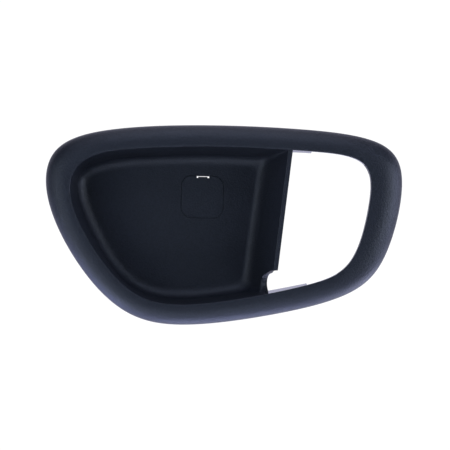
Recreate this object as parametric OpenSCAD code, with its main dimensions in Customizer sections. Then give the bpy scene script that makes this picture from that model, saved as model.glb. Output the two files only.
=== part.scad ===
// Trim cover for a car's inside door handle: a bullnose rim round a finger cup
// and a lever opening, with a square cap over the fixing screw.
// The front faces -Y, +X is the lever side and +Z is up.
// The origin is the middle of the screw hole, on the seat of the screw's head.

/* [Rim] */
// Overall length of the rim
overall_length = 165.5; // [155:0.5:176]
// Overall height of the rim
overall_height = 92.7; // [88:0.1:98]
// How far the rim stands off the door panel
rim_depth = 9.5; // [9:0.1:12]
// Width of the rim's rounded outer roll, where the rim is wide enough for it
roll_width = 10.4; // [9:0.2:11]
// Thickness of the moulded wall
wall = 2; // [1.8:0.1:2.2]
// Step at the lip, between the rim and the cup wall
lip_step = 0.35; // [0.35:0.05:0.6]

/* [Finger cup] */
// Depth of the cup floor behind the rim's crown
cup_depth = 25; // [22:0.5:28]
// How far the cup wall leans in on its way down to the floor
cup_draft = 2.6; // [2:0.1:4.5]
// Fillet between the cup wall and the floor
floor_fillet = 5; // [3:0.5:6]
// Run of the ramp wall that parts the cup from the lever opening
ramp_run = 9.8; // [8:0.2:12]

/* [Lever opening] */
// Radius of the round notch near the foot of the ramp wall
notch_radius = 4.8; // [3.5:0.1:5.2]
// Depth of the skirt behind the lower edge of the opening
skirt_depth = 13; // [10:1:18]

/* [Screw pocket and cap] */
// Side of the square pocket mouth
pocket_size = 20.2; // [19.6:0.1:21]
// Depth of the screw seat behind the cup floor
pocket_depth = 7; // [6.5:0.5:10]
// Corner radius of the pocket mouth
pocket_corner = 4.8; // [4:0.1:5.5]
// Diameter of the screw hole
screw_hole = 5.5; // [4.2:0.1:6.5]
// Length of the screw hole, through the pocket floor and its boss
boss_length = 3.5; // [3:0.5:6]
// Gap round the cap
cap_gap = 0.3; // [0.25:0.05:0.45]
// Thickness of the cap's plate
cap_plate = 1.6; // [1.3:0.1:1.7]
// Width of the pry slot at the cap's top edge
pry_width = 6.3; // [5:0.1:7]

/* [Hidden] */
cover_colour = [0.13, 0.14, 0.18];
cap_colour = [0.16, 0.17, 0.21];
$fn = 48;

// Depths are counted back from the rim's crown. The screw seat lies at y = 0.
crown_y = -cup_depth - pocket_depth;
floor_y = -pocket_depth;
lip_drop = 0.3;
wall_top = lip_drop + 0.6;
flange_depth = 8;
flange_draft = 0.3;

// Control points of the rim's outer and inner edge, seen from the front. They run
// anticlockwise from the lower right and lie closer together where a corner turns.
nominal = [165.5, 92.7];
outer_net = [
    [87, -29], [96, 10], [86.5, 27], [46.5, 31.5], [0, 33.5], [-45, 32], [-72, 24],
    [-74, -2], [-57, -34.5], [-35.5, -57], [-9, -61.5], [33.5, -55.6], [72.4, -46.5]
];
inner_net = [
    [78, -5], [80, 18.5], [51, 20], [9.5, 24], [-25, 22.5], [-56, 20.5], [-64.5, 3],
    [-54.5, -21.5], [-36.5, -44.5], [-18, -51.5], [14.5, -48.5], [51.5, -41.5], [71, -33.5]
];
turns = len(outer_net);

// Closed cubic B-spline through a net, u running from 0 to the number of points
function net_point(net, i) =
    let (p = net[((i % turns) + turns) % turns])
    [p.x * overall_length / nominal.x, p.y * overall_height / nominal.y];
function weights(t) =
    [pow(1 - t, 3), 3 * pow(t, 3) - 6 * t * t + 4, -3 * pow(t, 3) + 3 * t * t + 3 * t + 1, pow(t, 3)] / 6;
function slopes(t) = [-pow(1 - t, 2), 3 * t * t - 4 * t, -3 * t * t + 2 * t + 1, t * t] / 2;
function mix(net, i, w) =
    w[0] * net_point(net, i - 1) + w[1] * net_point(net, i) + w[2] * net_point(net, i + 1) + w[3] * net_point(net, i + 2);
function curve(net, u) = mix(net, floor(u), weights(u - floor(u)));
function heading(net, u) = mix(net, floor(u), slopes(u - floor(u)));
// Unit normal that points into the ring
function inward(net, u) =
    let (h = heading(net, u))
    [-h.y, h.x] / norm(h);

// A closed or capped skin over a list of sections with equal numbers of points
module skin(sections, closed = false) {
    rows = len(sections);
    size = len(sections[0]);
    sides = [
        for (r = [0:rows - (closed ? 1 : 2)])
            for (k = [0:size - 1])
                let (
                    a = r * size + k,
                    b = r * size + (k + 1) % size,
                    c = ((r + 1) % rows) * size + (k + 1) % size,
                    d = ((r + 1) % rows) * size + k
                )
                each [[a, c, b], [a, d, c]]
    ];
    ends = closed ? [] : [[for (k = [0:size - 1]) k], [for (k = [size - 1:-1:0]) (rows - 1) * size + k]];
    polyhedron(points = [for (s = sections) each s], faces = concat(sides, ends), convexity = 10);
}

// Frame of the rim at a station of the outer edge: the edge point, the inward normal
// and the rim's width there. The normal's foot on the inner edge is found by halving.
function side(p, n, u) =
    let (q = curve(inner_net, u) - p)
    n.x * q.y - n.y * q.x;
function foot(p, n, low, high, steps) =
    let (middle = (low + high) / 2)
    steps == 0 ? middle
    : side(p, n, middle) > 0 ? foot(p, n, middle, high, steps - 1)
    : foot(p, n, low, middle, steps - 1);
function rim_frame(u) =
    let (p = curve(outer_net, u), n = inward(outer_net, u))
    [p, n, norm(p - curve(inner_net, foot(p, n, u - 2.2, u + 0.6, 18)))];
// A point of a rim section, given its distance out from the lip and its depth
function rim_point(frame, s, depth) =
    let (q = frame[0] + frame[1] * (frame[2] - s))
    [q.x, crown_y + depth, q.y];

// The rim: a rounded roll outside, a flat land at the lip, hollow behind
roll_depth = 8;
land_least = 1.4;
roll_steps = 6;
hollow_steps = 4;
rim_stations = 104;
function rim_land(width) = max(width - roll_width, land_least);
// A point of the roll, or of a curve inset from it, at an angle from the crown
function dome(width, inset, angle) =
    let (land = rim_land(width))
    [land + (width - land - inset) * sin(angle), roll_depth - (roll_depth - inset) * cos(angle)];
function rim_section(u) =
    let (
        frame = rim_frame(u),
        width = frame[2],
        land = rim_land(width),
        flange = lip_step + wall,
        start = max(flange, land),
        steep = asin((start - land) / (width - land - wall)),
        roof = dome(width, wall, steep).y,
        front = [[lip_step + flange_draft, flange_depth], [lip_step, lip_drop + 0.15], [lip_step + 0.15, lip_drop]],
        roll = [for (k = [0:roll_steps]) dome(width, 0, 90 * k / roll_steps)],
        edge = [[width, rim_depth], [width - wall, rim_depth]],
        hollow = [for (k = [hollow_steps:-1:1]) dome(width, wall, steep + (90 - steep) * k / hollow_steps)],
        back = [[start, roof], [flange, max(roof, wall + 0.4)], [flange + flange_draft, flange_depth]]
    )
    [for (p = concat(front, roll, edge, hollow, back)) rim_point(frame, p.x, p.y)];
module rim() {
    skin([for (k = [0:rim_stations - 1]) rim_section(turns * k / rim_stations)], closed = true);
}

// The finger cup. At each depth its outline follows the rim's inner edge, leaning in,
// and is closed by the straight line of the ramp wall, with rounded corners between.
floor_shift = [-1, -0.8];
ramp_foot = 27.5;
ramp_lean = 0.125;
ramp_slope = atan((cup_depth - wall_top) / ramp_run);
// The fillet at the ramp's foot is this much narrower than the one round the wall
ramp_fillet = 0.65;
function depth_share(depth) = (depth - wall_top) / (cup_depth - wall_top);
function ramp_x(z, depth, offset) =
    let (inset = offset > 0 ? ramp_fillet * offset : offset)
    ramp_foot + ramp_lean * z + ramp_run * (1 - depth_share(depth)) - inset / sin(ramp_slope);
function cup_wall(u, depth, offset) =
    curve(inner_net, u) + inward(inner_net, u) * (cup_draft * depth_share(depth) + offset)
    + floor_shift * depth_share(depth);
function past_ramp(u, depth, offset) =
    let (p = cup_wall(u, depth, offset))
    p.x > ramp_x(p.y, depth, offset);
// Where the wall meets the ramp: u_out lies beyond the ramp and u_in inside the cup
function ramp_corner(u_out, u_in, depth, offset, steps) =
    let (middle = (u_out + u_in) / 2)
    steps == 0 ? middle
    : past_ramp(middle, depth, offset) ? ramp_corner(middle, u_in, depth, offset, steps - 1)
    : ramp_corner(u_out, middle, depth, offset, steps - 1);

wall_steps = 54;
corner_steps = 4;
ramp_steps = 4;
function arc_between(a, corner, b, steps) = [
    for (k = [1:steps]) let (t = k / (steps + 1)) pow(1 - t, 2) * a + 2 * t * (1 - t) * corner + t * t * b
];
function cup_ring(depth, offset) =
    let (
        top = ramp_corner(1.2, 3.4, depth, offset, 20),
        foot = ramp_corner(11.4, 9.6, depth, offset, 20),
        cut = 0.5 + 3.5 * depth_share(depth) + max(0, -offset),
        first = top + cut / norm(heading(inner_net, top)),
        last = foot - cut / norm(heading(inner_net, foot)),
        high = cup_wall(top, depth, offset),
        low = cup_wall(foot, depth, offset),
        rise = (high - low) / norm(high - low),
        sweep = [for (k = [0:wall_steps]) cup_wall(first + (last - first) * k / wall_steps, depth, offset)],
        straight = [for (k = [0:ramp_steps]) low + rise * (cut + (norm(high - low) - 2 * cut) * k / ramp_steps)],
        ring = concat(
            sweep,
            arc_between(sweep[wall_steps], low, straight[0], corner_steps),
            straight,
            arc_between(straight[ramp_steps], high, sweep[0], corner_steps)
        )
    )
    [for (k = [len(ring) - 1:-1:0]) [ring[k].x, crown_y + depth, ring[k].y]];
// The skin runs from the floor up the inside, over the lip and down the back
fillet_steps = 4;
module cup() {
    fillet_top = cup_depth - floor_fillet;
    outer_fillet = floor_fillet + wall;
    inner = [for (k = [fillet_steps:-1:0]) let (a = 90 * k / fillet_steps)
             cup_ring(fillet_top + floor_fillet * sin(a), floor_fillet * (1 - cos(a)))];
    lip = [cup_ring((fillet_top + wall_top) / 2, 0), cup_ring(wall_top, 0), cup_ring(wall_top, -wall)];
    outer = [for (k = [0:fillet_steps]) let (a = 90 * k / fillet_steps)
             cup_ring(fillet_top + outer_fillet * sin(a), floor_fillet - outer_fillet * cos(a))];
    skin(concat(inner, lip, outer));
}

// Skirt that carries the cup wall on past the ramp, along the edge of the opening
skirt_steps = 6;
module skirt(from, to, depth_from, depth_to) {
    function place(u, s, depth) =
        let (q = curve(inner_net, u) + inward(inner_net, u) * (0.35 * cup_draft * depth_share(depth) - s))
        [q.x, crown_y + depth, q.y];
    skin([
        for (k = [0:skirt_steps])
            let (t = k / skirt_steps, u = from + (to - from) * t, deep = depth_from + (depth_to - depth_from) * t * t)
            [place(u, 0.1, deep), place(u, 0.1, wall_top + 0.1), place(u, wall, wall_top + 0.1), place(u, wall, deep)]
    ]);
}

// A block across the rim at one station, from a profile of distances and depths
module rim_block(u, length, profile) {
    frame = rim_frame(u);
    along = [-frame[1].y, 0, frame[1].x] * length / 2;
    middle = [for (p = profile) rim_point(frame, p.x, p.y)];
    skin([[for (p = middle) p + along], [for (p = middle) p - along]]);
}
// Web that stiffens the hollow rim
web_stations = [0.1, 1.5, 2.6, 3.5, 4.6, 6.1, 7.3, 8.2, 9.2, 10.2, 11.4];
web_back = 7;
web_thickness = 1.2;
module web(u) {
    width = rim_frame(u)[2];
    rim_block(u, web_thickness, concat(
        [[lip_step + wall / 2, web_back], [lip_step + wall / 2, wall]],
        [for (a = [15:15:75]) dome(width, wall / 2, a)],
        [[width - wall / 2, web_back]]
    ));
}
// Snap tab that hooks behind the sheet of the door panel
tab_stations = [0.75, 3.05, 5.3, 7.75, 10.7];
tab_length = 8;
tab_back = 17.5;
tab_catch = 12.5;
tab_thickness = 1.8;
tab_barb = 1.2;
module snap_tab(u) {
    outer_face = rim_frame(u)[2] - 2.2;
    inner_face = outer_face - tab_thickness;
    rim_block(u, tab_length, [
        [inner_face, tab_back], [inner_face, wall], [outer_face, 4], [outer_face, tab_catch],
        [outer_face + tab_barb, tab_catch + 0.3], [outer_face + tab_barb, tab_catch + 1.2],
        [outer_face - 0.6, tab_back]
    ]);
}

// Places its children square with the pocket, with z = 0 on the front of the cup floor
pocket_turn = 1.4;
module at_pocket() {
    translate([0, floor_y, 0])
    rotate([0, pocket_turn, 0])
    rotate([-90, 0, 0])
    children();
}
module rounded_square(size, radius) {
    square([size, size - 2 * radius], center = true);
    square([size - 2 * radius, size], center = true);
    for (x = [-1, 1], y = [-1, 1])
        translate([x, y] * (size / 2 - radius)) circle(radius);
}
module block(from, to) {
    translate(from) cube(to - from);
}

// Pocket that holds the screw's head below the cup floor. In its frame x is right,
// y is down and z runs back from the floor's front.
pocket_wall = 1.8;
ledge = 1;
ledge_depth = cap_plate + 0.1;
boss_radius = 6;
tongue_spread = 5;
tongue_width = 3;
slot_depth = 5;
hinge_drop = pocket_size / 2 - cap_gap / 2;
module pocket_body() {
    translate([0, 0, wall / 2])
        linear_extrude(pocket_depth + wall / 2) rounded_square(pocket_size + 2 * pocket_wall, pocket_corner + pocket_wall);
    translate([0, 0, pocket_depth + wall / 2])
        cylinder(h = boss_length - wall / 2, r = boss_radius);
}
module pocket_hollow() {
    translate([0, 0, -1])
        linear_extrude(ledge_depth + 1) rounded_square(pocket_size, pocket_corner);
    linear_extrude(pocket_depth) rounded_square(pocket_size - 2 * ledge, pocket_corner - ledge);
    cylinder(h = pocket_depth + boss_length + 1, d = screw_hole);
    // Window behind the pry slot, open right through
    block([-pry_width / 2 - 0.6, -pocket_size / 2 - 0.8, ledge_depth],
          [pry_width / 2 + 0.6, -pocket_size / 2 + 1.8, pocket_depth + wall + 1]);
    // Slots for the cap's two tongues, which reach behind the cup floor
    for (x = [-1, 1] * tongue_spread) {
        block([x - 2.1, pocket_size / 2 - 2.1, ledge_depth - 0.1], [x + 2.1, pocket_size / 2 + 0.1, slot_depth]);
        block([x - 2.1, pocket_size / 2 - 2.1, wall + 0.2], [x + 2.1, pocket_size / 2 + 3.1, slot_depth]);
    }
}

// Ribs behind the cup floor, from the pocket outwards
rib_height = 3;
rib_thickness = 1.4;
rib_reach = 21;
module ribs() {
    for (a = [0, 90, 180, 270])
        rotate(a) block([pocket_size / 2 + pocket_wall / 2, -rib_thickness / 2, wall / 2],
                        [rib_reach, rib_thickness / 2, wall + rib_height]);
}

// Places its children on the front of the ramp wall at the notch: x runs up the ramp
// to its free edge, y is up and z points into the cup
notch_depth = 7.6;
notch_z = -40.8;
module at_notch() {
    translate([ramp_x(notch_z, notch_depth, 0), crown_y + notch_depth, notch_z])
    rotate([90, 0, -ramp_slope])
    children();
}
// It opens upwards towards the ramp's edge
notch_flare = 2.4;
notch_length = 20;
module notch_outline() {
    circle(notch_radius);
    polygon([[0, notch_radius], [notch_radius, notch_radius + 0.6 * notch_flare],
             [notch_length, notch_radius + notch_flare], [notch_length, -notch_radius], [0, -notch_radius]]);
}
notch_reach = [-8, 4];
module notch() {
    at_notch() translate([0, 0, notch_reach[0]]) linear_extrude(notch_reach[1] - notch_reach[0]) notch_outline();
}
// Collar that thickens the ramp wall round the notch, on its back
collar_height = 1.2;
collar_width = 1.6;
module notch_collar() {
    collar_radius = notch_radius + collar_width;
    at_notch() translate([0, 0, -wall - collar_height])
    linear_extrude(collar_height + wall / 2)
    intersection() {
        circle(collar_radius);
        translate([-collar_radius, -collar_radius]) square([collar_radius + wall, 2 * collar_radius]);
    }
}

module trim_cover() color(cover_colour) {
    difference() {
        union() {
            resize([overall_length, 0, overall_height]) {
                rim();
                difference() {
                    union() {
                        cup();
                        notch_collar();
                    }
                    notch();
                }
                skirt(10, 11, skirt_depth, flange_depth);
                skirt(1.95, 2.4, flange_depth, skirt_depth);
                for (u = web_stations) web(u);
                for (u = tab_stations) snap_tab(u);
            }
            at_pocket() pocket_body();
            at_pocket() ribs();
        }
        at_pocket() pocket_hollow();
    }
}

// Snap-in cap over the screw, in the same frame as the pocket. It is levered out at
// the slot and swings about its lower front edge, where two tongues hold it.
finger_width = pry_width - 1.7;
module screw_cap() color(cap_colour) at_pocket() {
    side_length = pocket_size - 2 * cap_gap;
    slot_bar = 0.75 - cap_gap;
    slot_end = 1.5 - cap_gap;
    top = -side_length / 2;
    difference() {
        linear_extrude(cap_plate) rounded_square(side_length, pocket_corner - cap_gap);
        block([-pry_width / 2, top - 1, -1], [pry_width / 2, top + slot_bar, cap_plate + 1]);
        for (x = [-pry_width / 2, finger_width / 2])
            block([x, top - 1, -1], [x + (pry_width - finger_width) / 2, top + slot_end, cap_plate + 1]);
    }
    block([-finger_width / 2, top + slot_bar, cap_plate / 2], [finger_width / 2, top + slot_bar + 1.2, 5.2]);
    for (x = [-1, 1])
        scale([x, 1, 1]) {
            block([7.4, -5, cap_plate / 2], [8.6, 6, 4.6]);
            translate([8, 0, 3.3]) rotate([0, 90, 0]) cylinder(h = 0.95, r1 = 1.4, r2 = 0.6);
            block([tongue_spread - tongue_width / 2, hinge_drop - 1.3, cap_plate / 2],
                  [tongue_spread + tongue_width / 2, hinge_drop - 0.1, 3.7]);
            block([tongue_spread - tongue_width / 2, hinge_drop - 1.3, 2.5],
                  [tongue_spread + tongue_width / 2, hinge_drop + 2.5, 3.7]);
        }
}

trim_cover();
screw_cap();
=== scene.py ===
import math

import bmesh
import bpy
from mathutils import Matrix, Vector


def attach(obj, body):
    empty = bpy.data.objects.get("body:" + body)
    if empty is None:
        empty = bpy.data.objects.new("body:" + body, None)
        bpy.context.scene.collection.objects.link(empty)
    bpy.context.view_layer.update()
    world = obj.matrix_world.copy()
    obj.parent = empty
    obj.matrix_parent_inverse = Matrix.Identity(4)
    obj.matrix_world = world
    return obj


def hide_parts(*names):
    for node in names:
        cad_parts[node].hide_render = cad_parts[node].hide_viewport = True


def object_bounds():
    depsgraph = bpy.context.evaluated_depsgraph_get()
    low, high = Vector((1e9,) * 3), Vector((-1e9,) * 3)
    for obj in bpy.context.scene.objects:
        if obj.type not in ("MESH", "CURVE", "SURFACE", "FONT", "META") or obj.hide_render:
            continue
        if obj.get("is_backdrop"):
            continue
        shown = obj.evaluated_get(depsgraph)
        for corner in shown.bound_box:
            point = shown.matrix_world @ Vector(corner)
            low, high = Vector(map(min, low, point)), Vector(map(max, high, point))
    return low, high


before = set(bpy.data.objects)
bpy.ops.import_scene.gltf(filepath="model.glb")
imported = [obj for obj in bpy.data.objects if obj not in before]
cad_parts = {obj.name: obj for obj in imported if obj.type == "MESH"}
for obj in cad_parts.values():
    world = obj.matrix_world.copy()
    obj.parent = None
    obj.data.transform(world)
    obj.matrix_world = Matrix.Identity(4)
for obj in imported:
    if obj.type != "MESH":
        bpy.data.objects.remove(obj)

cad_low, cad_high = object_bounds()

# Trim cover: one injection moulding of black talc-filled polypropylene. It frames the
# inside door lever with a bullnose rim and a finger cup. Behind, webs stiffen the rim
# and five snap tabs hold it in the door panel. Its sizes are in millimetres.

# The rim's section: a roll outside, a land inside that falls to the lip, and the lip,
# which is rounded and steps back a hair from the top of the cup's wall
roll_width = 10.4
roll_depth = 8.0
land_least = 1.4
rim_depth = 9.5
wall = 2.0
lip_step = 0.05
lip_drop = 0.15
lip_radius = 0.3
edge_radius = 0.3
flange_depth = 8.0
flange_draft = 0.3
shoulder_least = 0.4

# The cup, and the ramp wall that closes it. The ramp stands further to the right the
# higher it is, by its lean, and a little more so at the floor, by its twist.
cup_depth = 25.0
cup_draft = 2.6
wall_top = lip_drop + 0.6
floor_fillet = 5.0
ramp_fillet = 0.65
ramp_foot = 27.5
ramp_lean = 0.125
ramp_twist = 0.012
ramp_run = 9.8
ramp_slope = math.atan2(cup_depth - wall_top, ramp_run)
pocket_depth = 7.0
crown_y = -cup_depth - pocket_depth
floor_y = -pocket_depth

# How far the floor's outline moves from where an even lean of the wall would put it, one
# move for each control point of the inner edge. A fitting program worked these moves out
# from the floor's highlight in the photo, so they are measured data and not a design.
floor_move = [
    (-1.2, -0.7), (-1.2, -0.6), (-1.3, -0.5), (-1.5, -0.4), (-1.7, -0.1), (-2.5, -1.1), (-1.5, 3.1),
    (-1.5, -0.2), (-4.6, -0.5), (-1, -1.1), (-1.3, -0.8), (-1.2, -0.7), (-1.2, -0.7),
]

# Control points of the rim's outer and inner edge, anticlockwise from the lower right.
# These too are a fitting program's output, from edges measured in the photo, rounded to
# 0.1 mm or to half a millimetre.
outer_net = [
    (87, -29), (96, 10), (86.5, 27), (46.5, 31.5), (0, 33.5), (-45, 32), (-72, 24),
    (-74, -2), (-57, -34.5), (-35.5, -57), (-9, -61.5), (33.5, -55.6), (72.4, -46.5),
]
inner_net = [
    (77.5, -4.9), (79.5, 17.8), (51.1, 20.3), (9.7, 23), (-25, 22.1), (-54.8, 20), (-63.4, 3),
    (-52.6, -20.7), (-35.7, -43.5), (-17.9, -51.5), (14.5, -48.4), (51.6, -40.8), (70.3, -33.8),
]
turns = len(outer_net)


def spline(net, u):
    """Point, inward normal and speed of a closed cubic B-spline through a net."""
    first = math.floor(u)
    t = u - first
    near = [Vector(net[(first + k) % turns]) for k in (-1, 0, 1, 2)]
    place = ((1 - t) ** 3, 3 * t**3 - 6 * t**2 + 4, -3 * t**3 + 3 * t**2 + 3 * t + 1, t**3)
    slope = (-((1 - t) ** 2), 3 * t**2 - 4 * t, -3 * t**2 + 2 * t + 1, t**2)
    point = sum((p * w for p, w in zip(near, place)), Vector((0, 0))) / 6
    heading = sum((p * w for p, w in zip(near, slope)), Vector((0, 0))) / 2
    return point, Vector((-heading.y, heading.x)).normalized(), heading.length


# Part of the inner edge, back and on from a station of the outer edge, in which the point
# straight across from that station is looked for
search_back = 2.2
search_on = 0.6
search_steps = 30


def rim_frame(u):
    """Edge point, inward normal and width of the rim at a station of its outer edge."""
    edge, inward, _ = spline(outer_net, u)
    low, high = u - search_back, u + search_on
    for _ in range(search_steps):
        middle = (low + high) / 2
        across = spline(inner_net, middle)[0] - edge
        if inward.x * across.y - inward.y * across.x > 0:
            low = middle
        else:
            high = middle
    return edge, inward, across.length


def rim_point(station, out, depth):
    """A point at a distance out from the lip and at a depth behind the crown."""
    edge, inward, width = station
    q = edge + inward * (width - out)
    return Vector((q.x, crown_y + depth, q.y))


def arc(centre, radius, start, end, steps):
    """Points of an arc, its angles counted in degrees from the first axis to the second."""
    angles = [math.radians(start + (end - start) * k / steps) for k in range(steps + 1)]
    return [(centre[0] + radius * math.cos(a), centre[1] + radius * math.sin(a)) for a in angles]


def rim_profile(width):
    """The rim's section as distances out from the lip and depths behind the crown."""
    land = max(width - roll_width, land_least)
    across = width - land
    flange = lip_step + wall
    start = max(flange, land)
    steep = math.asin((start - land) / (across - wall))

    def dome(inset, angle):
        out = land + (across - inset) * math.sin(angle)
        return (out, roll_depth - (roll_depth - inset) * math.cos(angle))

    roof = dome(wall, steep)[1]
    lip = arc((lip_step + lip_radius, lip_drop + lip_radius), lip_radius, 180, 270, 4)
    crown = []
    for k in range(1, 8):
        t = k / 8
        from_lip = lip_step + lip_radius + t * (land - lip_step - lip_radius)
        crown.append((from_lip, lip_drop * (1 - t) ** 2))
    roll = [dome(0, math.radians(90 * k / 24)) for k in range(25)]
    edge = arc((width - edge_radius, rim_depth - edge_radius), edge_radius, 0, 90, 3)
    inner_edge = arc((width - wall + edge_radius, rim_depth - edge_radius), edge_radius, 90, 180, 3)
    hollow = [dome(wall, steep + (math.radians(90) - steep) * k / 10) for k in range(10, 0, -1)]
    shoulder = max(roof, wall + shoulder_least)
    back = [(start, roof), (flange, shoulder), (flange + flange_draft * 0.5, (shoulder + flange_depth) / 2)]
    foot_width = wall / 2
    foot = arc((lip_step + flange_draft + foot_width, flange_depth - foot_width), foot_width, 0, 180, 6)
    return lip + crown + roll + edge + inner_edge + hollow + back + foot


def grow(bm, ring, outline):
    """Extrudes a closed ring of vertices by one row and sets the new row on an outline."""
    edges = [bm.edges.get(pair) for pair in zip(ring, ring[1:] + ring[:1])]
    made = bmesh.ops.extrude_edge_only(bm, edges=edges)["geom"]
    fresh = {v for v in made if isinstance(v, bmesh.types.BMVert)}
    row = [next(e.other_vert(v) for e in v.link_edges if e.other_vert(v) in fresh) for v in ring]
    for v, place in zip(row, outline):
        v.co = place
    return row


def loft(bm, outlines, closed=False):
    """A skin over outlines with equal numbers of points, capped or closed on itself."""
    first = bmesh.ops.create_circle(bm, segments=len(outlines[0]), radius=1)["verts"]
    for v, place in zip(first, outlines[0]):
        v.co = place
    ring = first
    for outline in outlines[1:]:
        ring = grow(bm, ring, outline)
    if closed:
        ring = grow(bm, ring, outlines[0])
        bmesh.ops.remove_doubles(bm, verts=first + ring, dist=1e-4)
    else:
        for end in (first, ring):
            edges = [bm.edges.get(pair) for pair in zip(end, end[1:] + end[:1])]
            bmesh.ops.edgeloop_fill(bm, edges=edges)


def solid(name, bm):
    """An object of a bmesh in millimetres, with its faces turned outwards."""
    bmesh.ops.recalc_face_normals(bm, faces=bm.faces)
    bmesh.ops.scale(bm, vec=(0.001, 0.001, 0.001), verts=bm.verts)
    mesh = bpy.data.meshes.new(name)
    bm.to_mesh(mesh)
    bm.free()
    piece = bpy.data.objects.new(name, mesh)
    bpy.context.scene.collection.objects.link(piece)
    return piece


def combine(piece, other, operation):
    """Joins another solid to a piece or cuts it out, and keeps the result as its mesh."""
    modifier = piece.modifiers.new("combine", "BOOLEAN")
    modifier.object = other
    modifier.operation = operation
    modifier.solver = "MANIFOLD"
    graph = bpy.context.evaluated_depsgraph_get()
    result = bpy.data.meshes.new_from_object(piece.evaluated_get(graph))
    piece.modifiers.clear()
    piece.data = result
    bpy.data.objects.remove(other)


def smooth(piece):
    """Smooth shading up to the sharp edges, each face weighing by its area and its angle."""
    piece.data.shade_smooth()
    piece.data.set_sharp_from_angle(angle=math.radians(32))
    modifier = piece.modifiers.new("flats", "WEIGHTED_NORMAL")
    modifier.mode = "FACE_AREA_WITH_ANGLE"
    modifier.weight = 50
    modifier.keep_sharp = True
    graph = bpy.context.evaluated_depsgraph_get()
    piece.data = bpy.data.meshes.new_from_object(piece.evaluated_get(graph))
    piece.modifiers.clear()


rim_stations = 360
stations = [rim_frame(turns * k / rim_stations) for k in range(rim_stations)]
profiles = [rim_profile(station[2]) for station in stations]
rows = [
    [rim_point(station, *profile[row]) for station, profile in zip(stations, profiles)]
    for row in range(len(profiles[0]))
]
bm = bmesh.new()
loft(bm, rows, closed=True)
cover = solid("trim_cover_moulding", bm)


# The cup follows the rim's inner edge, leans in on its way down and is closed by the
# straight ramp wall, with rounded corners between them.
def share(depth):
    """How far down the cup's wall a depth lies, from 0 at its top to 1 at the floor."""
    return (depth - wall_top) / (cup_depth - wall_top)


def ramp_x(z, depth, offset):
    """Where the ramp wall's plane stands at a height and a depth."""
    level = ramp_foot + (ramp_lean + ramp_twist * share(depth)) * z + ramp_run * (1 - share(depth))
    inset = offset * ramp_fillet if offset > 0 else offset
    return level - inset / math.sin(ramp_slope)


def cup_wall(u, depth, offset):
    """A point of the cup's wall at a station of the inner edge and a depth."""
    point, inward, _ = spline(inner_net, u)
    lean = inward * (cup_draft * share(depth) + offset)
    return point + lean + spline(floor_move, u)[0] * share(depth)


def ramp_corner(u_out, u_in, depth, offset):
    """Where the wall meets the ramp, found between a point beyond it and one inside."""
    for _ in range(corner_search_steps):
        middle = (u_out + u_in) / 2
        p = cup_wall(middle, depth, offset)
        if p.x > ramp_x(p.y, depth, offset):
            u_out = middle
        else:
            u_in = middle
    return middle


def arc_between(a, corner, b, steps):
    """Points that round off a corner between two ends."""
    shares = [k / (steps + 1) for k in range(1, steps + 1)]
    return [a * (1 - t) ** 2 + corner * (2 * t * (1 - t)) + b * t**2 for t in shares]


# Stations beyond and inside each corner of the ramp, and how much the corners cut off at
# the lip and, on top of that, at the floor
top_beyond, top_inside = 1.2, 3.4
foot_beyond, foot_inside = 11.4, 9.6
lip_cut = 0.5
floor_cut = 3.5
corner_search_steps = 26
wall_steps = 230
corner_steps = 10
ramp_steps = 44


def cup_ring(depth, offset):
    """The cup's outline at one depth, offset inwards."""
    top = ramp_corner(top_beyond, top_inside, depth, offset)
    foot = ramp_corner(foot_beyond, foot_inside, depth, offset)
    cut = lip_cut + floor_cut * share(depth) + max(0, -offset)
    first = top + cut / spline(inner_net, top)[2]
    last = foot - cut / spline(inner_net, foot)[2]
    high, low = cup_wall(top, depth, offset), cup_wall(foot, depth, offset)
    rise = (high - low).normalized()
    length = (high - low).length - 2 * cut
    sweep = [cup_wall(first + (last - first) * k / wall_steps, depth, offset) for k in range(wall_steps + 1)]
    straight = [low + rise * (cut + length * k / ramp_steps) for k in range(ramp_steps + 1)]
    ring = (
        sweep
        + arc_between(sweep[-1], low, straight[0], corner_steps)
        + straight
        + arc_between(straight[-1], high, sweep[0], corner_steps)
    )
    return [Vector((p.x, crown_y + depth, p.y)) for p in ring]


fillet_top = cup_depth - floor_fillet
outer_fillet = floor_fillet + wall
floor_lap = 0.5
inside = [(cup_depth, floor_fillet + floor_lap)]
inside += [(fillet_top + floor_fillet * math.sin(a), floor_fillet * (1 - math.cos(a)))
           for a in (math.radians(90 * k / 14) for k in range(14, -1, -1))]
inside += [(fillet_top + (wall_top + edge_radius - fillet_top) * k / 6, 0) for k in range(1, 6)]
lip = [(wall_top + edge_radius * (1 - math.sin(a)), -edge_radius * (1 - math.cos(a)))
       for a in (math.radians(90 * k / 4) for k in range(5))]
back_lip = [(wall_top + edge_radius * (1 - math.cos(a)), edge_radius - wall - edge_radius * math.sin(a))
            for a in (math.radians(90 * k / 4) for k in range(5))]
outside = [(wall_top + edge_radius + (fillet_top - wall_top) * k / 4, -wall) for k in range(1, 4)]
outside += [(fillet_top + outer_fillet * math.sin(a), floor_fillet - outer_fillet * math.cos(a))
            for a in (math.radians(90 * k / 10) for k in range(11))]
outside += [(cup_depth + wall, floor_fillet + floor_lap)]
bm = bmesh.new()
loft(bm, [cup_ring(depth, offset) for depth, offset in inside + lip + back_lip + outside])
cup = solid("cup", bm)

# The round notch near the foot of the ramp wall, flared towards the opening and backed
# by a half collar
notch_radius = 4.8
notch_flare = 2.4
notch_depth = 7.6
notch_z = -40.8
notch_length = 20.0
notch_rounding = 0.35
notch_steps = 40
notch_back = -8
notch_front = 4
flare_start = 0.6
collar_height = 1.2
collar_width = 1.6
at_notch = (
    Matrix.Translation((ramp_x(notch_z, notch_depth, 0), crown_y + notch_depth, notch_z))
    @ Matrix.Rotation(-ramp_slope, 4, "Z")
    @ Matrix.Rotation(math.radians(90), 4, "X")
)


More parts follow.
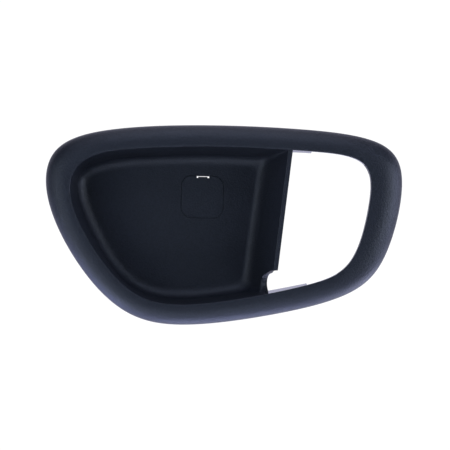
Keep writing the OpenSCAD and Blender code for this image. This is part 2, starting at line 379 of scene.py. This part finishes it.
def notch_outline(growth, level):
    """The notch's outline, grown outwards, at one level of the ramp wall."""
    r = notch_radius + growth
    flat = arc((0, 0), r, 90, 270, notch_steps)
    flat += [(notch_length, -r), (notch_length, r + notch_flare)]
    flat += [(notch_radius, r + flare_start * notch_flare)]
    return [at_notch @ Vector((x, y, level)) for x, y in flat]


def collar_outline(growth, level):
    """The half collar's outline, grown outwards, at one level behind the ramp wall."""
    flat = arc((0, 0), notch_radius + collar_width + growth, 70, 290, notch_steps)
    return [at_notch @ Vector((x, y, level)) for x, y in flat]


collar_foot = -wall - collar_height
bm = bmesh.new()
loft(bm, [collar_outline(-edge_radius, collar_foot), collar_outline(0, collar_foot + edge_radius),
          collar_outline(0, -wall / 2)])
combine(cup, solid("collar", bm), "UNION")
flare = [(notch_rounding * (1 - math.cos(a)), notch_rounding * (math.sin(a) - 1))
         for a in (math.radians(90 * k / 4) for k in range(5))]
bm = bmesh.new()
levels = [(0, notch_back)] + flare + [(notch_rounding + 0.01, notch_front)]
loft(bm, [notch_outline(growth, level) for growth, level in levels])
combine(cup, solid("notch", bm), "DIFFERENCE")
combine(cover, cup, "UNION")


# Skirts that carry the cup's wall on past the ramp, along the lever opening's edge
skirt_lean = 2.0
skirt_depth = 13.0
skirt_inset = 0.1


def skirt_point(u, out, depth):
    """A point of a skirt at a distance out from its face and at a depth."""
    point, inward, _ = spline(inner_net, u)
    q = point + inward * (skirt_lean * share(depth) - out)
    return Vector((q.x, crown_y + depth, q.y))


def skirt(start, end, depth_start, depth_end):
    """A skirt between two stations of the inner edge, whose depth changes on the way."""
    outlines = []
    for k in range(31):
        u = start + (end - start) * k / 30
        deep = depth_start + (depth_end - depth_start) * (k / 30) ** 2
        foot = arc((wall / 2, deep - wall / 2), wall / 2 - skirt_inset, 180, 0, 8)
        flat = [(skirt_inset, wall_top + skirt_inset)] + foot + [(wall, wall_top + skirt_inset)]
        outlines.append([skirt_point(u, out, depth) for out, depth in flat])
    bm = bmesh.new()
    loft(bm, outlines)
    combine(cover, solid("skirt", bm), "UNION")


# The lower one starts at the foot of the ramp, and the upper one ends at its top
skirt(10, 11, skirt_depth, flange_depth)
skirt(1.95, 2.4, flange_depth, skirt_depth)


# Webs across the rim's hollow and the snap tabs that hook behind the panel's sheet
def rim_block(u, length, profile, rounding):
    """A block across the rim at one station, its edges rounded."""
    station = rim_frame(u)
    along = Vector((-station[1].y, 0, station[1].x)) * length / 2
    middle = [rim_point(station, out, depth) for out, depth in profile]
    bm = bmesh.new()
    loft(bm, [[p + along for p in middle], [p - along for p in middle]])
    if rounding:
        bmesh.ops.bevel(bm, geom=bm.edges, offset=rounding, segments=2, profile=0.5,
                        affect="EDGES", material=-1)
    combine(cover, solid("block", bm), "UNION")


web_back = 7.0
web_thickness = 1.2
for u in (0.1, 1.5, 2.6, 3.5, 4.6, 6.1, 7.3, 8.2, 9.2, 10.2, 11.4):
    width = rim_frame(u)[2]
    land = max(width - roll_width, land_least)
    reach, drop = width - land - wall / 2, roll_depth - wall / 2
    under_skin = [(land + reach * math.sin(a), roll_depth - drop * math.cos(a))
                  for a in (math.radians(15 + 60 * k / 6) for k in range(7))]
    rim_block(u, web_thickness, [(lip_step + wall / 2, web_back), (lip_step + wall / 2, wall)] + under_skin
              + [(width - wall / 2, web_back)], 0)

tab_length = 8.0
tab_back = 17.5
tab_catch = 12.5
tab_inset = 2.2
tab_root = 4
tab_thickness = 1.8
tab_barb = 1.2
barb_slope = 0.3
barb_length = 1.2
tip_lean = 0.6
tab_rounding = 0.2
for u in (0.75, 3.05, 5.3, 7.75, 10.7):
    outer_face = rim_frame(u)[2] - tab_inset
    inner_face = outer_face - tab_thickness
    rim_block(u, tab_length, [
        (inner_face, tab_back), (inner_face, wall), (outer_face, tab_root), (outer_face, tab_catch),
        (outer_face + tab_barb, tab_catch + barb_slope), (outer_face + tab_barb, tab_catch + barb_length),
        (outer_face - tip_lean, tab_back),
    ], tab_rounding)

# The moulding is drawn out to its overall length and height
places = [v.co for v in cover.data.vertices]
stretch = []
for axis in (0, 2):
    span = max(p[axis] for p in places) - min(p[axis] for p in places)
    stretch.append((cad_high[axis] - cad_low[axis]) / span)
cover.data.transform(Matrix.Diagonal((stretch[0], 1, stretch[1], 1)))

# The screw pocket: a square mouth in the cup's floor, a ledge for the cap, the screw's
# seat and hole, a window behind the pry slot and two slots for the cap's tongues
pocket_size = 20.2
pocket_corner = 4.8
pocket_wall = 1.8
pocket_turn = math.radians(1.4)
ledge = 1.0
cap_plate = 1.6
ledge_play = 0.1
ledge_depth = cap_plate + ledge_play
screw_hole = 5.5
boss_length = 3.5
boss_radius = 6.0
boss_draft = 0.1
pry_width = 6.1
tongue_spread = 5.0
at_pocket = (
    Matrix.Translation((0, floor_y, 0))
    @ Matrix.Rotation(pocket_turn, 4, "Y")
    @ Matrix.Rotation(math.radians(-90), 4, "X")
)


def rounded_square(size, corner, level):
    """Outline of a square with round corners, square with the pocket at one depth."""
    points = []
    for quarter in range(4):
        turn = math.radians(45 + 90 * quarter)
        centre = [math.copysign(size / 2 - corner, c) for c in (math.cos(turn), math.sin(turn))]
        points += arc(centre, corner, 90 * quarter, 90 * quarter + 90, 12)
    return [at_pocket @ Vector((x, y, level)) for x, y in points]


def block(low, high):
    """A box between two corners in the pocket's frame."""
    bm = bmesh.new()
    bmesh.ops.create_cube(bm, size=1)
    size = Vector(high) - Vector(low)
    bmesh.ops.scale(bm, vec=size, verts=bm.verts)
    bmesh.ops.translate(bm, vec=(Vector(low) + Vector(high)) / 2, verts=bm.verts)
    bmesh.ops.transform(bm, matrix=at_pocket, verts=bm.verts)
    return solid("block", bm)


def rod(radius_start, radius_end, start, end, place):
    """A straight rod or cone along its own frame's depth."""
    bm = bmesh.new()
    bmesh.ops.create_cone(bm, cap_ends=True, segments=64, radius1=radius_start, radius2=radius_end,
                          depth=end - start)
    bmesh.ops.translate(bm, vec=(0, 0, (start + end) / 2), verts=bm.verts)
    bmesh.ops.transform(bm, matrix=place, verts=bm.verts)
    return solid("rod", bm)


outer_size = pocket_size + 2 * pocket_wall
back = pocket_depth + wall
bm = bmesh.new()
loft(bm, [rounded_square(outer_size, pocket_corner + pocket_wall, wall / 2),
          rounded_square(outer_size, pocket_corner + pocket_wall, back - edge_radius),
          rounded_square(outer_size - 2 * edge_radius, pocket_corner + pocket_wall - edge_radius, back)])
combine(cover, solid("pocket", bm), "UNION")
boss_end = pocket_depth + boss_length
boss = rod(boss_radius, boss_radius - boss_draft, pocket_depth + wall / 2, boss_end, at_pocket)
combine(cover, boss, "UNION")
rib_reach = 21.0
rib_height = 3.0
rib_thickness = 1.4
for turn in range(4):
    x, y = (round(math.cos(turn * math.pi / 2)), round(math.sin(turn * math.pi / 2)))
    near, far, half = pocket_size / 2 + pocket_wall / 2, rib_reach, rib_thickness / 2
    corners = [(x * d + y * side, y * d + x * side) for d, side in ((near, -half), (far, half))]
    low = [min(a, b) for a, b in zip(*corners)] + [wall / 2]
    high = [max(a, b) for a, b in zip(*corners)] + [wall + rib_height]
    combine(cover, block(low, high), "UNION")

bm = bmesh.new()
mouth = 0.1
loft(bm, [rounded_square(pocket_size + 2 * mouth, pocket_corner + mouth, -1),
          rounded_square(pocket_size + 2 * mouth, pocket_corner + mouth, 0),
          rounded_square(pocket_size, pocket_corner, mouth),
          rounded_square(pocket_size, pocket_corner, ledge_depth),
          rounded_square(pocket_size - 2 * ledge, pocket_corner - ledge, ledge_depth),
          rounded_square(pocket_size - 2 * ledge, pocket_corner - ledge, pocket_depth)])
combine(cover, solid("hollow", bm), "DIFFERENCE")
bore = rod(screw_hole / 2, screw_hole / 2, pocket_depth - 1, boss_end + 1, at_pocket)
combine(cover, bore, "DIFFERENCE")
window_height = 1.8
window_edge = -pocket_size / 2 + window_height
combine(cover, block((-pry_width / 2, -pocket_size / 2, ledge_depth),
                     (pry_width / 2, window_edge, pocket_depth + wall + 1)), "DIFFERENCE")
slot_depth = 5.0
slot_half = 2.1
slot_inside = 2.1
slot_outside = 3.1
slot_play = 0.1
slot_skin = 0.2
for x in (-tongue_spread, tongue_spread):
    combine(cover, block((x - slot_half, pocket_size / 2 - slot_inside, ledge_depth - slot_play),
                         (x + slot_half, pocket_size / 2 + slot_play, slot_depth)), "DIFFERENCE")
    combine(cover, block((x - slot_half, pocket_size / 2 - slot_inside, wall + slot_skin),
                         (x + slot_half, pocket_size / 2 + slot_outside, slot_depth)), "DIFFERENCE")


def srgb(hex_code):
    """Linear colour of an sRGB hex value."""
    parts = [int(hex_code[i:i + 2], 16) / 255 for i in (0, 2, 4)]
    return [c / 12.92 if c <= 0.04045 else ((c + 0.055) / 1.055) ** 2.4 for c in parts] + [1]


def node(tree, kind, settings=(), **links):
    """Adds a node, sets its properties and default values, and links its inputs."""
    made = tree.nodes.new(kind)
    for key, value in dict(settings).items():
        if hasattr(made, key):
            setattr(made, key, value)
        else:
            made.inputs[key.replace("_", " ")].default_value = value
    for key, socket in links.items():
        tree.links.new(socket, made.inputs[key.replace("_", " ")])
    return made


def moulded_polypropylene(name, light, dark, roughness, grain_height):
    """Black moulded polypropylene: a soft blue-black sheen over a fine spark-eroded grain."""
    material = bpy.data.materials.new(name)
    material.use_nodes = True
    tree = material.node_tree
    tree.nodes.clear()
    place = node(tree, "ShaderNodeTexCoord").outputs["Object"]
    # Grain 0.8 mm wide, coarser than a real one, so that it shows at this picture size
    grain = node(tree, "ShaderNodeTexNoise", {"Scale": 1 / 0.0008, "Detail": 3.0, "Roughness": 0.6},
                 Vector=place).outputs["Fac"]
    relief = node(tree, "ShaderNodeBump", {"Strength": 1.0, "Distance": grain_height}, Height=grain)
    # The talc filler greys the black a little from grain to grain
    filler = node(tree, "ShaderNodeMapRange", {"From_Min": 0.35, "From_Max": 0.65}, Value=grain)
    colour = node(tree, "ShaderNodeMix", {"data_type": "RGBA"}, Factor=filler.outputs["Result"])
    colour.inputs["A"].default_value = srgb(dark)
    colour.inputs["B"].default_value = srgb(light)
    # Flow of the melt over about 30 mm, just a shade of gloss
    flow = node(tree, "ShaderNodeTexNoise", {"Scale": 1 / 0.03, "Detail": 3.0}, Vector=place)
    gloss = node(tree, "ShaderNodeMapRange", {"From_Min": 0.3, "From_Max": 0.7, "To_Min": roughness - 0.02,
                                              "To_Max": roughness + 0.02}, Value=flow.outputs["Fac"])
    shader = node(tree, "ShaderNodeBsdfPrincipled", {"IOR": 1.49}, Base_Color=colour.outputs["Result"],
                  Normal=relief.outputs["Normal"], Roughness=gloss.outputs["Result"])
    node(tree, "ShaderNodeOutputMaterial", Surface=shader.outputs["BSDF"])
    return material


# The cover's three surfaces. The mould's face is grained, which spreads the light into a
# soft sheen on the front. Its core side is only ground, so the back is plainer and a
# little glossier. The slide that forms the skirts is polished, and their gleam is narrow.
cover.data.materials.clear()
for material in (
    moulded_polypropylene("grained_polypropylene", "1a1d25", "10131a", 0.5, 0.0002),
    moulded_polypropylene("ground_polypropylene", "1a1d25", "13161d", 0.42, 0.00004),
    moulded_polypropylene("polished_polypropylene", "1a1d25", "13161d", 0.2, 0.00002),
):
    cover.data.materials.append(material)
ground_slot = 1
polished_slot = 2
skirt_low, skirt_high = -36, 12
skirt_front, skirt_end = crown_y + 1, crown_y + 14
facing = 0.7
facing_back = 0.2
for face in cover.data.polygons:
    centre, normal = face.center * 1000, face.normal
    on_low_skirt = centre.z < skirt_low and normal.z > facing
    on_high_skirt = centre.z > skirt_high and normal.z < -facing
    beyond_ramp = centre.x > ramp_x(centre.z, centre.y - crown_y, 0)
    if beyond_ramp and skirt_front < centre.y < skirt_end and (on_low_skirt or on_high_skirt):
        face.material_index = polished_slot
    elif normal.y > facing_back:
        face.material_index = ground_slot
smooth(cover)
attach(cover, "cover")
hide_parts("trim_cover")

# Screw cap: a small polypropylene moulding that snaps over the screw. A blade in the
# slot at its top edge levers it out, and two tongues hold its lower edge. The top and
# foot of a tongue are heights above the hinge line.
cap_gap = 0.3
cap_seam = 0.18
cap_edge = 0.12
cap_crown = 0.3
finger_gap = 0.85
finger_width = pry_width - 2 * finger_gap
finger_depth = 5.2
finger_thickness = 1.2
rail_inner, rail_outer = 7.4, 8.6
rail_low, rail_high = -5, 6
rail_depth = 4.6
cone_depth = 3.3
cone_foot, cone_tip = 1.4, 0.6
cone_length = 0.95
tongue_half = 1.5
tongue_back = 3.7
tongue_top, tongue_foot = 1.3, 0.1
hook_front = 2.5
hook_reach = 2.5
side_length = pocket_size - 2 * cap_seam
slot_bar = 0.55 - cap_seam
slot_end = 1.1 - cap_seam
cap_top = -side_length / 2
hinge_drop = pocket_size / 2 - cap_gap / 2
corner = pocket_corner - cap_seam
rounding = [(cap_edge * (1 - math.sin(a)), cap_edge * (1 - math.cos(a)))
            for a in (math.radians(90 * k / 4) for k in range(5))]
bm = bmesh.new()
loft(bm, [rounded_square(side_length - 2 * cap_edge - 2 * cap_crown, corner - cap_edge - cap_crown, 0)]
     + [rounded_square(side_length - 2 * inset, corner - inset, level) for inset, level in rounding]
     + [rounded_square(side_length, corner, cap_plate)])
cap = solid("screw_cap_moulding", bm)
combine(cap, block((-pry_width / 2, cap_top - 1, -1), (pry_width / 2, cap_top + slot_bar, cap_plate + 1)),
        "DIFFERENCE")
for x in (-pry_width / 2, finger_width / 2):
    end = x + (pry_width - finger_width) / 2
    combine(cap, block((x, cap_top - 1, -1), (end, cap_top + slot_end, cap_plate + 1)), "DIFFERENCE")
combine(cap, block((-finger_width / 2, cap_top + slot_bar, cap_plate / 2),
                   (finger_width / 2, cap_top + slot_bar + finger_thickness, finger_depth)), "UNION")
for side in (-1, 1):
    rail = sorted((side * rail_inner, side * rail_outer))
    combine(cap, block((rail[0], rail_low, cap_plate / 2), (rail[1], rail_high, rail_depth)), "UNION")
    at_cone = (
        at_pocket
        @ Matrix.Translation((side * (rail_inner + rail_outer) / 2, 0, cone_depth))
        @ Matrix.Rotation(math.radians(90 * side), 4, "Y")
    )
    combine(cap, rod(cone_foot, cone_tip, 0, cone_length, at_cone), "UNION")
    left, right = side * tongue_spread - tongue_half, side * tongue_spread + tongue_half
    combine(cap, block((left, hinge_drop - tongue_top, cap_plate / 2),
                       (right, hinge_drop - tongue_foot, tongue_back)), "UNION")
    combine(cap, block((left, hinge_drop - tongue_top, hook_front),
                       (right, hinge_drop + hook_reach, tongue_back)), "UNION")
# The cap is grained like the cover's face, in a slightly lighter black
cap.data.materials.clear()
cap.data.materials.append(moulded_polypropylene("grained_polypropylene_cap", "1d2028", "13161d", 0.5, 0.0002))
smooth(cap)
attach(cap, "cap")
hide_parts("screw_cap")

# Studio: a pale floor that runs up into a backdrop, far enough off to catch no shadow
floor_drop = 0.7
room = 1.6
bend = 0.5
paper_glow = 1.05
bm = bmesh.new()
sweep = [(-2 * room, -floor_drop), (room - bend, -floor_drop)]
sweep += [(room - bend + bend * math.sin(a), -floor_drop + bend * (1 - math.cos(a)))
          for a in (math.radians(90 * k / 16) for k in range(1, 17))]
sweep += [(room, 2 * room)]
edge = [bm.verts.new((-2 * room, y, z)) for y, z in sweep]
edges = [bm.edges.new(pair) for pair in zip(edge, edge[1:])]
made = bmesh.ops.extrude_edge_only(bm, edges=edges)["geom"]
bmesh.ops.translate(bm, vec=(4 * room, 0, 0), verts=[v for v in made if isinstance(v, bmesh.types.BMVert)])
mesh = bpy.data.meshes.new("backdrop")
bm.to_mesh(mesh)
bm.free()
mesh.shade_smooth()
backdrop = bpy.data.objects.new("backdrop", mesh)
bpy.context.scene.collection.objects.link(backdrop)
# The paper is white all over, without a shadow or a gradient behind the part
paper = bpy.data.materials.new("matt_white_paper")
paper.use_nodes = True
paper.node_tree.nodes.clear()
glow = node(paper.node_tree, "ShaderNodeEmission", {"Color": srgb("ffffff"), "Strength": paper_glow})
node(paper.node_tree, "ShaderNodeOutputMaterial", Surface=glow.outputs["Emission"])
mesh.materials.append(paper)
backdrop.visible_diffuse = False
backdrop.visible_glossy = False
backdrop.visible_shadow = False
backdrop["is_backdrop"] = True

# Light: white paper fills the view and glows from behind, and round soft boxes stand
# about the part. Each is given by its angle from the camera's side, its bearing from +X
# up to +Z, its power in watts and its tint. They stand on a coarse grid of directions.
# Which of them are lit, their powers and their tints are a fitting program's output.
glow_behind = 1.18
glow_in_view = 1.3
world = bpy.data.worlds.new("studio")
bpy.context.scene.world = world
world.use_nodes = True
tree = world.node_tree
tree.nodes.clear()
direction = node(tree, "ShaderNodeTexCoord").outputs["Generated"]
backwards = node(tree, "ShaderNodeSeparateXYZ", Vector=direction).outputs["Y"]
behind = node(tree, "ShaderNodeMapRange", {"From_Min": 0.2, "From_Max": 0.5, "To_Min": 0.0,
                                           "To_Max": glow_behind}, Value=backwards)
dim = node(tree, "ShaderNodeBackground", {"Color": srgb("e4e4ff")}, Strength=behind.outputs["Result"])
bright = node(tree, "ShaderNodeBackground", {"Color": srgb("ffffff"), "Strength": glow_in_view})
seen = node(tree, "ShaderNodeLightPath").outputs["Is Camera Ray"]
both = node(tree, "ShaderNodeMixShader", Fac=seen)
tree.links.new(dim.outputs[0], both.inputs[1])
tree.links.new(bright.outputs[0], both.inputs[2])
node(tree, "ShaderNodeOutputWorld", Surface=both.outputs[0])

middle = Vector((0.011, -0.025, -0.0136))
light_distance = 1.2
light_size = 0.7
for name, angle, bearing, power, colour in [
    ("front_left", 28, 180, 1.45, "bbd1ff"),
    ("right_box", 52, 0, 5.0, "dfedff"),
    ("top_box", 52, 90, 3.3, "cbdaff"),
    ("left_box", 52, 180, 3.5, "e0eeff"),
    ("low_box", 52, 270, 4.5, "d2e0ff"),
    ("far_right", 78, 0, 7.7, "cfd8ff"),
    ("far_top", 78, 90, 3.7, "dae2ff"),
    ("low_left", 78, 225, 7.7, "d8e4ff"),
    ("under_left", 105, 225, 5.1, "a5b1ff"),
    ("under", 105, 270, 9.0, "bec9ff"),
    ("under_right", 105, 315, 10.5, "d1d8ff"),
]:
    light = bpy.data.lights.new(name, "AREA")
    light.shape = "DISK"
    light.size = light_size
    light.energy = power
    light.color = srgb(colour)[:3]
    lamp = bpy.data.objects.new(name, light)
    tilt, turn = math.radians(angle), math.radians(bearing)
    away = Vector((math.sin(tilt) * math.cos(turn), -math.cos(tilt), math.sin(tilt) * math.sin(turn)))
    lamp.location = middle + away * light_distance
    lamp.rotation_euler = (-away).to_track_quat("-Z", "Y").to_euler()
    lamp.visible_camera = False
    bpy.context.scene.collection.objects.link(lamp)

# Camera: in front of the rim's crown at the photograph's distance and framing
camera_distance = 0.6
frame_width = 0.2064
aim = Vector((0.010825, 0, -0.01346))
camera = bpy.data.cameras.new("camera")
camera.sensor_width = 36
camera.lens = camera.sensor_width * camera_distance / frame_width
viewer = bpy.data.objects.new("camera", camera)
viewer.location = (aim.x, crown_y / 1000 - camera_distance, aim.z)
viewer.rotation_euler = (math.radians(90), 0, 0)
bpy.context.scene.collection.objects.link(viewer)
bpy.context.scene.camera = viewer
bpy.context.scene.view_settings.view_transform = "Standard"

low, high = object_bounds()
